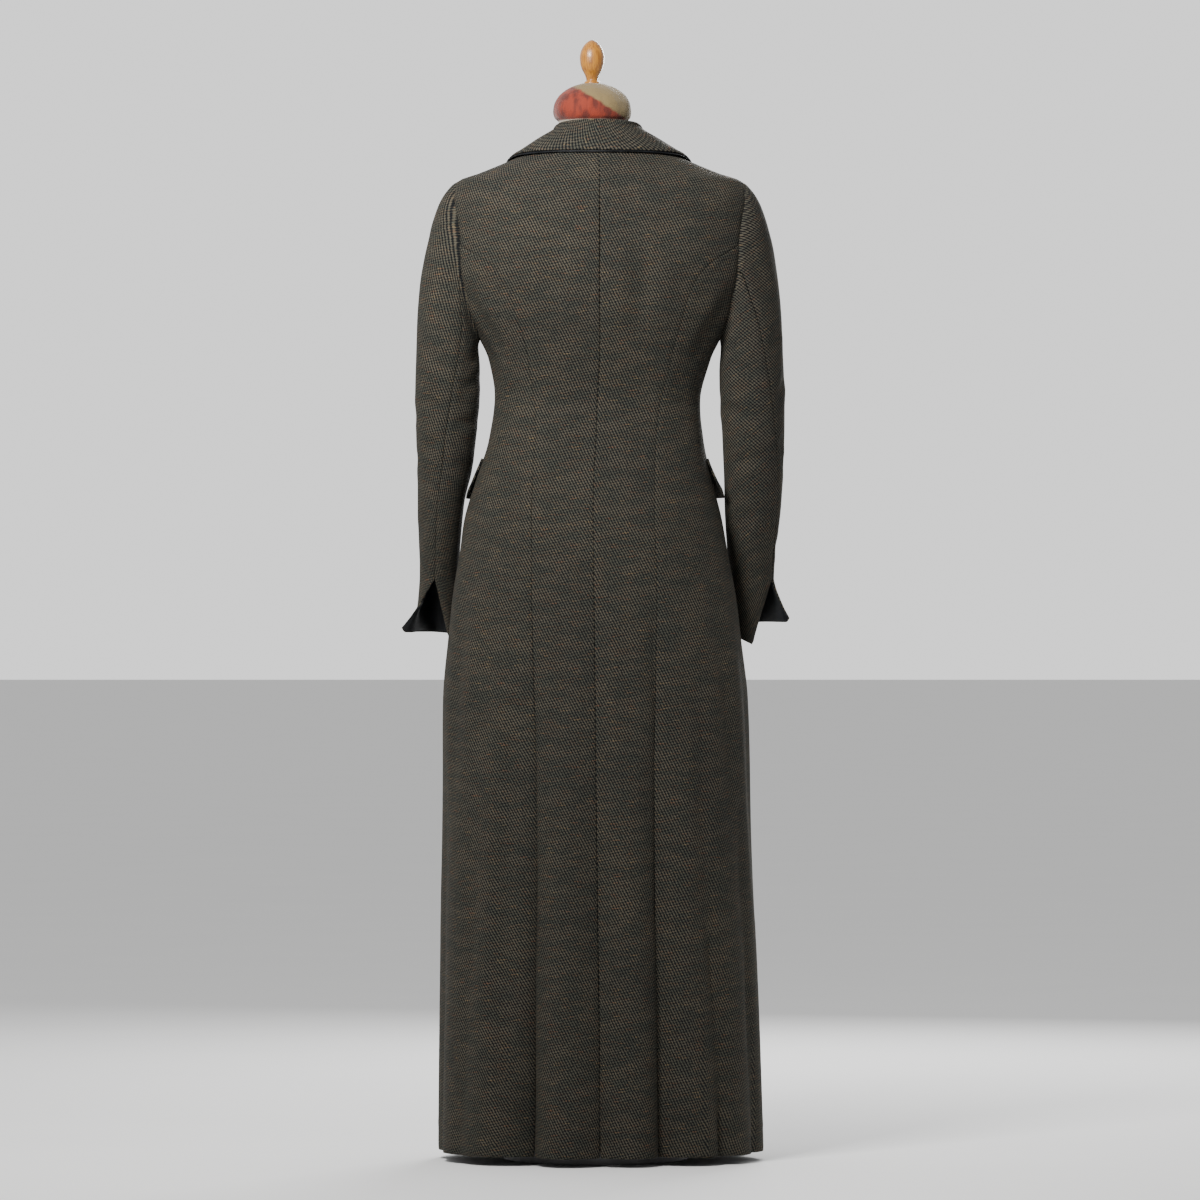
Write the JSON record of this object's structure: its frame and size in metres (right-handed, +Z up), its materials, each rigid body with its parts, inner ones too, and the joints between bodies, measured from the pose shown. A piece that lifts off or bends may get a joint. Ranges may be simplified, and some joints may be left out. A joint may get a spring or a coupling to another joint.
{
  "type": "long tweed coat on a limbless dress form with a stand",
  "caption": "Full-length fitted coat with princess seams, long sleeves with open flared cuffs, hip pocket flaps and a softly folding skirt, worn on a limbless dress form.",
  "frame": {"origin": "centre of the base's underside on the floor, which is the bottom centre of the bounding box", "axes": "+Z up, +X to the viewer's right with the coat seen from behind, -Y the side that the coat's back faces"},
  "size_m": [0.5452, 0.3831, 1.564],
  "materials": {
    "tweed": "dark olive brown diagonal tweed with small rust slubs",
    "black_satin": "black satin facing",
    "horn": "dark horn",
    "form_cloth": "plain beige linen",
    "cap_cloth": "rust red and tan cloth",
    "turned_wood": "varnished beech",
    "steel": "dark brushed steel"
  },
  "bodies": {
    "root": {"back_left": "tweed", "back_right": "tweed", "side_back_left": "tweed", "side_back_right": "tweed", "side_front_left": "tweed", "side_front_right": "tweed", "front_left": "tweed", "front_right": "tweed", "lapel_left": "tweed", "lapel_right": "tweed", "button_1": "horn", "button_2": "horn", "button_3": "horn", "button_4": "horn", "upper_sleeve_left": "tweed", "upper_sleeve_right": "tweed", "under_sleeve_left": "tweed", "under_sleeve_right": "tweed", "cuff_facing_left": "black_satin", "cuff_facing_right": "black_satin", "collar": "tweed", "under_collar": "black_satin", "pocket_flap_left": "tweed", "pocket_flap_right": "tweed", "form_torso": "form_cloth", "form_neck_cap": "cap_cloth", "form_finial": "turned_wood", "form_pole": "steel", "form_base": "steel"}
  },
  "joints": []
}
